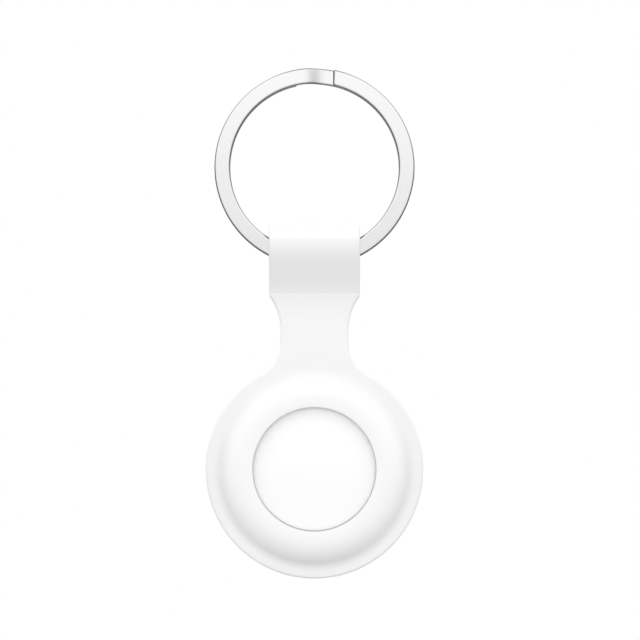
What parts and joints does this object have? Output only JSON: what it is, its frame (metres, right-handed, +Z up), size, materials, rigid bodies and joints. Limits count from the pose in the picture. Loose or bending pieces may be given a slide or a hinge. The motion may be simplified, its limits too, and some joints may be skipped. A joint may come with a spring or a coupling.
{
  "type": "tracker tag holder",
  "caption": "White silicone holder with a domed round pocket for a coin-shaped tracker tag, a waisted neck and a moulded loop that swings on a split key ring.",
  "frame": {"origin": "middle of the key ring, where a key or hook passes through", "axes": "+Z up along the hanging holder, +X to the right and -Y out of the front face"},
  "size_m": [0.041, 0.0102, 0.0972],
  "materials": {
    "ring_steel": "satin, fine rolled grain",
    "silicone": "soft matt white silicone",
    "tag_white": "gloss white",
    "copper": "enamelled copper",
    "magnet": "nickel plated",
    "board": "green solder mask",
    "chip": "black moulding compound",
    "passive": "ceramic",
    "frame_plastic": "black moulding",
    "chassis_plastic": "white moulding",
    "spring_steel": "plated spring steel",
    "cell_steel": "nickel plated steel",
    "gasket": "moulded",
    "electrode": "pressed powder",
    "door_steel": "polished",
    "seal_rubber": "black rubber"
  },
  "bodies": {
    "ring": {"key_ring": "ring_steel"},
    "holder": {"silicone_holder": "silicone"},
    "tag": {"tag_cover": "tag_white", "voice_coil": "copper", "speaker_magnet": "magnet", "circuit_board": "board", "board_chips": "chip", "board_passives": "passive", "antenna_frame": "frame_plastic", "antenna_traces": "copper", "inner_chassis": "chassis_plastic", "positive_contacts": "spring_steel", "negative_contact": "spring_steel", "cell_can": "cell_steel", "cell_gasket": "gasket", "cell_cap": "cell_steel", "cell_stack": "electrode", "door_seal": "seal_rubber"},
    "door": {"door_plate": "door_steel", "door_bayonet": "chassis_plastic"}
  },
  "joints": [
    {"name": "holder_swing", "type": "hinge", "parent": "ring", "child": "holder", "pos_m": [0, 0, -0.01623], "axis": [1, 0, 0], "range_deg": [-160, 160]},
    {"name": "tag_turn", "type": "hinge", "parent": "holder", "child": "tag", "pos_m": [0, 0, -0.05764], "axis": [0, 1, 0], "continuous": true},
    {"name": "door_twist", "type": "hinge", "parent": "tag", "child": "door", "pos_m": [0, 0, -0.05764], "axis": [0, 1, 0], "range_deg": [0, 40]}
  ]
}
